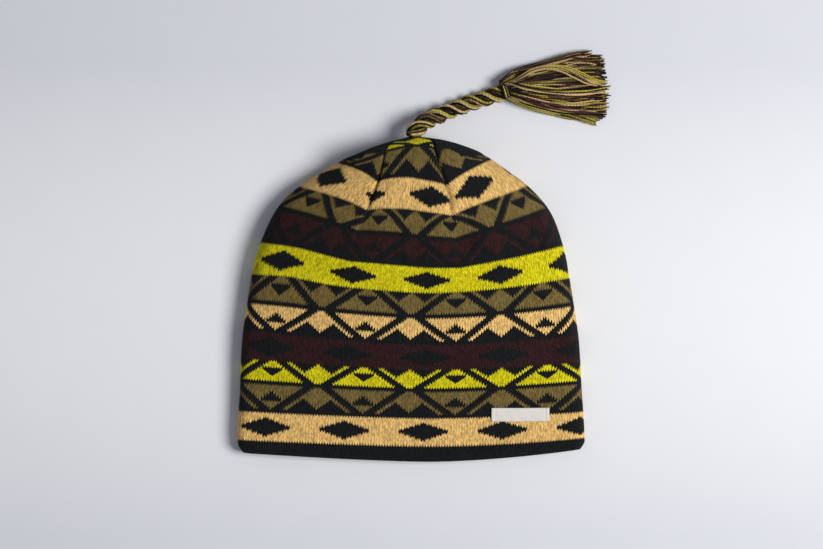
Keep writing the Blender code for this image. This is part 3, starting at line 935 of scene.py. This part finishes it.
class BEANIE_OT_tie(Operator):
    """Winds yarn round the plait's end, above the tassel"""

    bl_idname = "beanie.tie"
    bl_label = "Tie"

    def execute(self, context):
        end, way = cord_end()
        side = np.array([way[1], -way[0], 0.0])
        up = np.array([0.0, 0.0, 1.0])
        start = np.array([end[0], end[1], TIE_DIAMETER / 2]) + way * GAP
        bundle = Bundle()
        share = np.linspace(0, 1, TIE_TURNS * TIE_POINTS)
        angle = math.tau * TIE_TURNS * share
        radius = TIE_DIAMETER / 2 * (TIE_WOUND + TIE_BULGE * np.sin(math.pi * share))
        path = start + way * (TIE_LENGTH * (0.1 + 0.75 * share))[:, None]
        path = path + side * (radius * np.cos(angle))[:, None] + up * (radius * np.sin(angle))[:, None]
        cut = len(path) // len(TIE_YARNS)
        for n, colour in enumerate(TIE_YARNS):
            bundle.add(path[n * cut:(n + 1) * cut + 1], TIE_YARN, 7, SHADE[colour])
        core = start + way * np.linspace(-TIE_OUT, TIE_LENGTH + TIE_OUT, 8)[:, None]
        bundle.add(core, TIE_DIAMETER / 2 * TIE_CORE, 20, SHADE["black"])
        piece = bundle.make("tie", yarn_finish("tie_yarn", context.scene.beanie_yarn))
        own(piece, "tassel_tie", slot="yarn")
        return {"FINISHED"}


class BEANIE_OT_tassel(Operator):
    """Hangs the tassel's yarns from the tie, in sheaves that fan out on the floor"""

    bl_idname = "beanie.tassel"
    bl_label = "Tassel"

    def execute(self, context):
        s = context.scene.beanie_tassel
        rng = random.Random(s.seed)
        end, way = cord_end()
        start = np.array([end[0], end[1], 0.0]) + way * (GAP + TIE_LENGTH / 2)
        bundle = Bundle()
        share = np.linspace(0, 1, 25)
        for sheaf in map(Sheaf._make, SHEAVES):
            middle = np.array(sheaf.points) / 1000
            run = run_along(middle)
            colours = sheaf.colours.split()
            for n in range(round(sheaf.yarns * s.fullness)):
                if sheaf.yarns > len(colours) and n % len(colours) == 0:
                    rng.shuffle(colours)
                at = share * run[-1]
                x, y = (through(run, middle[:, k], at) for k in range(2))
                slope = np.unwrap(np.arctan2(np.gradient(y), np.gradient(x)))
                opened = np.interp(share, [0, 0.25, 1], [0.35, 0.8, 1.25])
                across = (n + rng.uniform(-1.5, 2.5)) / sheaf.yarns / s.fullness * 2 - 1
                aside = across * 1.15 * sheaf.spread / 1000 * opened
                drift = rng.uniform(-1, 1) * YARN_DRIFT
                drift = drift * np.sin(math.pi * share * rng.uniform(0.7, 3.4) + rng.uniform(0, 3))
                aside = aside + drift * share
                x, y = x - np.sin(slope) * aside, y + np.cos(slope) * aside
                stretch = 1 + max(-0.12, min(0.04, rng.gauss(-0.012, 0.034)))
                level = sheaf.height / 1000 + rng.gauss(0, 0.35) * LEVEL_VARIES
                root = YARN_ROOT + rng.uniform(-1, 1) * ROOT_VARIES
                arch = max(level, ARCH_LEAST) + ARCH_RISE
                z = np.interp(share, [0, 0.22, 0.6, 1], [root, arch, level, level * 0.62])
                z = z + YARN_WAVE * np.sin(share * 9 + rng.uniform(0, 6))
                thick = s.yarn_thick / 2 * rng.uniform(0.8, 1.15)
                z = np.clip(z, thick + 0.0001, YARN_HIGHEST)
                path = np.stack([start[0] + x * stretch, start[1] + y, z], axis=1)
                hue = SHADE[colours[n % len(colours)]] + rng.uniform(-0.06, 0.06)
                # Low yarns and those near the tie are painted darker, and each yarn gets a random tone: painted
                # shade and yarn tone.
                lit = np.clip(0.60 + (z - 0.0022) * 130, 0.4, 1.08) * rng.uniform(0.8, 1.12)
                lit = lit * np.interp(share, [0, 0.12, 0.35, 1], [0.3, 0.45, 0.9, 1])
                thick = thick * np.interp(share, [0, 0.97, 1], [1, 1, 0.75])
                bundle.add(path, thick, 5, hue, turn=rng.uniform(0, 6), lit=lit)
        piece = bundle.make("tassel_yarns", yarn_finish("tassel_yarn", context.scene.beanie_yarn))
        own(piece, "tassel", slot="yarn")

        line, length = cord_line(61)
        return {"FINISHED"}


class BEANIE_OT_knit(Operator):
    """Knits the shell: ribs of stitches outside, a rounded turned hem and the inner side"""

    bl_idname = "beanie.knit"
    bl_label = "Knit shell"

    def execute(self, context):
        k = context.scene.beanie_knit
        columns = 2 * STITCHES
        stitches = np.round(FIRST_DART * 2 + np.arange(columns)) / 2
        outer = []
        for row in OUTER_ROWS:
            points, normal, _ = with_normals(row, stitches)
            fade = np.clip((KNIT_ROWS - row) / 50, 0.12, 1) * np.clip((row - 0.5) / 6, 0.3, 1)
            ripple = k.wale_height * (np.cos(math.tau * stitches) * 0.5 - 0.5) * fade
            outer.append(points + normal * ripple[:, None])
        lip = []
        base, normal, up = with_normals(OUTER_ROWS[0], stitches)
        up = unit(up)
        core = base - normal * (k.wall / 2)
        for degrees in range(165, 0, -30):
            a = math.radians(degrees)
            depth = k.wall / 2 * (1 - 0.08 * (np.cos(math.tau * stitches) * 0.5 + 0.5))
            lip.append(core + (normal * math.cos(a) - up * math.sin(a)) * depth[:, None])
        inner = []
        for row in INNER_ROWS:
            points, normal, _ = with_normals(row, stitches)
            inner.append(points - normal * k.wall)
        rings = inner + lip + outer
        labels = INNER_ROWS + LIP_ROWS + OUTER_ROWS
        inside = len(inner) + 2
        points = np.concatenate(rings + [inner[0].mean(axis=0)[None], outer[-1].mean(axis=0)[None]])
        # How much painted shade each point gets along the darts' creases, kept for the knit's finish.
        crease_shade = [value for row in labels for value in dart(row, stitches)]
        faces, chart, kinds = [], [], []
        here = np.arange(columns)
        after = (here + 1) % columns
        for r in range(len(rings) - 1):
            low, high = r * columns, (r + 1) * columns
            faces += np.stack([low + here, low + after, high + after, high + here], axis=1).tolist()
            corners = []
            here_row, next_row = labels[r], labels[r + 1]
            for row, aside in ((here_row, 0.0), (here_row, 0.5), (next_row, 0.5), (next_row, 0.0)):
                counted = pattern_stitch(row, stitches + aside, stitches + 0.25)
                corners.append(np.stack([counted, np.full(columns, row)], axis=1))
            chart += np.stack(corners, axis=1).reshape(-1, 2).tolist()
            kinds += [1 if r < inside else 0] * columns
        last = (len(rings) - 1) * columns
        for c in range(columns):
            n = (c + 1) % columns
            faces.append((n, c, len(points) - 2))
            chart += [(0.0, INNER_ROWS[0])] * 3
            kinds.append(1)
            faces.append((last + c, last + n, len(points) - 1))
            chart += [(0.0, KNIT_ROWS)] * 3
            kinds.append(0)
        mesh = bpy.data.meshes.new("knit")
        mesh.from_pydata(points.tolist(), [], faces)
        layer = mesh.uv_layers.new(name="chart")
        layer.data.foreach_set("uv", np.array(chart, np.float32).ravel())
        mesh.materials.append(knit_finish(k))
        mesh.materials.append(inner_finish(k))
        mesh.polygons.foreach_set("material_index", kinds)
        crease_shade_layer = mesh.attributes.new("crease", "FLOAT", "POINT")
        crease_shade_layer.data.foreach_set("value", np.array(crease_shade + [0.0, 1.0], np.float32))
        mesh.shade_smooth()
        piece = bpy.data.objects.new("knit", mesh)
        context.scene.collection.objects.link(piece)
        own(piece, "knit_shell", slot="knit")
        for a, b in zip(outer, outer[1:]):
            side = np.linalg.norm(np.roll(a, -1, axis=0) - a, axis=1)
            tall = np.linalg.norm(b - a, axis=1)
        return {"FINISHED"}


class BEANIE_OT_label(Operator):
    """Sews the bare tape to the front, with its ends folded under"""

    bl_idname = "beanie.label"
    bl_label = "Label"

    def execute(self, context):
        s = context.scene.beanie_label
        here, beside = on_ring(LABEL_ROW, [LABEL_STITCH, LABEL_STITCH + 1])
        stitch_width = np.linalg.norm(beside - here)
        row_height = np.linalg.norm(on_ring(LABEL_ROW + 1, [LABEL_STITCH])[0] - here)
        wide, tall = 96, 20
        tops, bottoms, cloth = [], [], []
        columns = LABEL_STITCH + (np.arange(wide + 1) / wide - 0.5) * s.width / stitch_width
        rows = LABEL_ROW + np.linspace(-8, 8, 17)
        bases, normals, _ = zip(*[with_normals(row, columns) for row in rows])
        bases, normals = np.array(bases), np.array(normals)
        for j in range(tall + 1):
            for i in range(wide + 1):
                u, v = i / wide - 0.5, j / tall - 0.5
                aside = (0.5 - abs(u)) * s.width
                seam = math.exp(-(((aside - SEAM_PLACE) / SEAM_WIDTH) ** 2))
                fold = END_THICK / (1 + math.exp((aside - END_REACH) / END_SOFT))
                soft = TAPE_WAVE * math.sin(u * 21 + 1) * math.sin(v * 5 + u * 9)
                pinch = 1 - 0.012 * seam
                across = u * s.width / stitch_width
                up = v * pinch * s.height / row_height + LABEL_SLANT * across
                base = np.array([np.interp(LABEL_ROW + up, rows, bases[:, i, k]) for k in range(3)])
                normal = unit([np.interp(LABEL_ROW + up, rows, normals[:, i, k]) for k in range(3)])
                edge = min(1.0, 8 * min(0.5 - abs(u) + 0.004, (0.5 - abs(v)) * 0.24 + 0.004))
                thick = s.thick * 0.78 + fold - SEAM_DEPTH * seam + soft
                tops.append(base + normal * (GAP + thick * (0.55 + 0.45 * math.sqrt(edge))))
                bottoms.append(base + normal * (GAP * 0.5))
                cloth.append((u * s.width * 1000, v * s.height * 1000))
        line = wide + 1
        layer = line * (tall + 1)
        points = bottoms + tops
        faces = []
        for j in range(tall):
            for i in range(wide):
                a = j * line + i
                faces.append((a, a + line, a + line + 1, a + 1))
                faces.append((layer + a, layer + a + 1, layer + a + line + 1, layer + a + line))
        edge = list(range(wide)) + [wide + j * line for j in range(tall)]
        edge += [tall * line + i for i in range(wide, 0, -1)] + [j * line for j in range(tall, 0, -1)]
        for a, b in zip(edge, edge[1:] + edge[:1]):
            faces.append((a, b, layer + b, layer + a))
        piece = new_piece("label", points, faces, tape_finish(s))
        uv = piece.data.uv_layers.new(name="weave")
        spots = cloth + cloth
        for loop in piece.data.loops:
            uv.data[loop.index].uv = spots[loop.vertex_index]
        own(piece, "woven_label", slot="label_tape")
        return {"FINISHED"}


class BEANIE_PT_panel(Panel):
    bl_label = "Tassel Beanie"
    bl_idname = "BEANIE_PT_panel"
    bl_space_type = "VIEW_3D"
    bl_region_type = "UI"
    bl_category = "Beanie"

    def draw(self, context):
        for operator, group, _ in STEPS:
            box = self.layout.box()
            box.operator(operator.bl_idname)
            settings = getattr(context.scene, group)
            for name in settings.__annotations__:
                box.prop(settings, name)


STEPS = [
    (BEANIE_OT_stage, "beanie_stage", StageSettings),
    (BEANIE_OT_plait, "beanie_plait", PlaitSettings),
    (BEANIE_OT_tie, "beanie_yarn", YarnSettings),
    (BEANIE_OT_tassel, "beanie_tassel", TasselSettings),
    (BEANIE_OT_label, "beanie_label", LabelSettings),
    (BEANIE_OT_knit, "beanie_knit", KnitSettings),
]


def register():
    for operator, name, group in STEPS:
        bpy.utils.register_class(group)
        setattr(bpy.types.Scene, name, PointerProperty(type=group))
        bpy.utils.register_class(operator)
    bpy.utils.register_class(BEANIE_PT_panel)


def unregister():
    bpy.utils.unregister_class(BEANIE_PT_panel)
    for operator, name, group in STEPS:
        bpy.utils.unregister_class(operator)
        delattr(bpy.types.Scene, name)
        bpy.utils.unregister_class(group)


def main():
    register()
    bpy.ops.beanie.stage()
    bpy.ops.beanie.plait()
    bpy.ops.beanie.tie()
    bpy.ops.beanie.tassel()
    bpy.ops.beanie.label()
    bpy.ops.beanie.knit()


if __name__ == "__main__":
    main()
